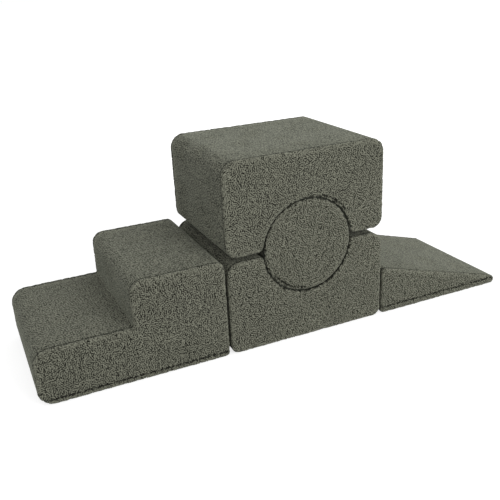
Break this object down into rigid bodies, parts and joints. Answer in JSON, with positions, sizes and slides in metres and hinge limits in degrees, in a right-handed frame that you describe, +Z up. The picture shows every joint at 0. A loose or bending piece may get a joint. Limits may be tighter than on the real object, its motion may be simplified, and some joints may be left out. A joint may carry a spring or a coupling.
{
  "type": "soft play foam climber",
  "caption": "Soft play foam climber: stairs, a roller held between notched blocks, and a low ramp, each a foam core in a zip-off pile fabric cover.",
  "frame": {"origin": "on the floor, under the middle of the whole set's bounding box", "axes": "+X along the row from the stairs to the ramp, +Y from the front to the zipped back, +Z up"},
  "size_m": [1.7948, 0.5202, 0.67],
  "materials": {
    "teddy_fabric": "matte curly teddy pile, dark olive grey",
    "bottom_fabric": "matte flat-woven cloth, dark olive grey",
    "foam": "matte open-cell polyurethane foam, cream",
    "zip_tape": "matte woven tape with a coil chain",
    "zip_metal": "satin"
  },
  "bodies": {
    "base_block": {"base_block_foam_core": "foam", "base_block_front_panel": "teddy_fabric", "base_block_back_panel": "teddy_fabric", "base_block_boxing_strip": "teddy_fabric", "base_block_bottom_panel": "bottom_fabric", "base_block_zip_tape": "zip_tape"},
    "top_block": {"top_block_foam_core": "foam", "top_block_front_panel": "teddy_fabric", "top_block_back_panel": "teddy_fabric", "top_block_boxing_strip": "teddy_fabric", "top_block_zip_tape": "zip_tape"},
    "roller": {"roller_foam_core": "foam", "roller_front_disc": "teddy_fabric", "roller_back_disc": "teddy_fabric", "roller_wrap": "teddy_fabric", "roller_zip_tape": "zip_tape"},
    "stairs": {"stairs_foam_core": "foam", "stairs_front_panel": "teddy_fabric", "stairs_back_panel": "teddy_fabric", "stairs_boxing_strip": "teddy_fabric", "stairs_bottom_panel": "bottom_fabric", "stairs_zip_tape": "zip_tape"},
    "ramp": {"ramp_foam_core": "foam", "ramp_front_panel": "teddy_fabric", "ramp_back_panel": "teddy_fabric", "ramp_boxing_strip": "teddy_fabric", "ramp_bottom_panel": "bottom_fabric", "ramp_zip_tape": "zip_tape"},
    "base_zip_slider": {"base_block_zip_slider": "zip_metal"},
    "base_zip_pull": {"base_block_zip_pull": "zip_metal"},
    "top_zip_slider": {"top_block_zip_slider": "zip_metal"},
    "top_zip_pull": {"top_block_zip_pull": "zip_metal"},
    "roller_zip_slider": {"roller_zip_slider": "zip_metal"},
    "roller_zip_pull": {"roller_zip_pull": "zip_metal"},
    "stairs_zip_slider": {"stairs_zip_slider": "zip_metal"},
    "stairs_zip_pull": {"stairs_zip_pull": "zip_metal"},
    "ramp_zip_slider": {"ramp_zip_slider": "zip_metal"},
    "ramp_zip_pull": {"ramp_zip_pull": "zip_metal"}
  },
  "joints": [
    {"name": "top_block_lift", "type": "slide", "parent": "base_block", "child": "top_block", "axis": [0, 0, 1], "range_m": [0, 0.35]},
    {"name": "roller_pull_out", "type": "slide", "parent": "base_block", "child": "roller", "axis": [0, -1, 0], "range_m": [0, 0.55]},
    {"name": "stairs_pull_away", "type": "slide", "parent": "base_block", "child": "stairs", "axis": [-1, 0, 0], "range_m": [0, 0.4]},
    {"name": "ramp_pull_away", "type": "slide", "parent": "base_block", "child": "ramp", "axis": [1, 0, 0], "range_m": [0, 0.4]},
    {"name": "base_zip_run", "type": "slide", "parent": "base_block", "child": "base_zip_slider", "axis": [-1, 0, 0], "range_m": [0, 0.43]},
    {"name": "base_zip_pull_swing", "type": "hinge", "parent": "base_zip_slider", "child": "base_zip_pull", "pos_m": [0.2595, 0.24685, 0.06], "axis": [0, 0, 1], "range_deg": [0, 180]},
    {"name": "top_zip_run", "type": "slide", "parent": "top_block", "child": "top_zip_slider", "axis": [-1, 0, 0], "range_m": [0, 0.43]},
    {"name": "top_zip_pull_swing", "type": "hinge", "parent": "top_zip_slider", "child": "top_zip_pull", "pos_m": [0.2595, 0.23485, 0.61], "axis": [0, 0, 1], "range_deg": [0, 180]},
    {"name": "roller_zip_run", "type": "slide", "parent": "roller", "child": "roller_zip_slider", "axis": [-1, 0, 0], "range_m": [0, 0.21]},
    {"name": "roller_zip_pull_swing", "type": "hinge", "parent": "roller_zip_slider", "child": "roller_zip_pull", "pos_m": [0.14965, 0.24185, 0.341], "axis": [0, 0, 1], "range_deg": [0, 180]},
    {"name": "stairs_zip_run", "type": "slide", "parent": "stairs", "child": "stairs_zip_slider", "axis": [-1, 0, 0], "range_m": [0, 0.464]},
    {"name": "stairs_zip_pull_swing", "type": "hinge", "parent": "stairs_zip_slider", "child": "stairs_zip_pull", "pos_m": [-0.3485, 0.25785, 0.06], "axis": [0, 0, 1], "range_deg": [0, 180]},
    {"name": "ramp_zip_run", "type": "slide", "parent": "ramp", "child": "ramp_zip_slider", "axis": [-1, 0, 0], "range_m": [0, 0.28]},
    {"name": "ramp_zip_pull_swing", "type": "hinge", "parent": "ramp_zip_slider", "child": "ramp_zip_pull", "pos_m": [0.6918, 0.23685, 0.044], "axis": [0, 0, 1], "range_deg": [0, 180]}
  ]
}
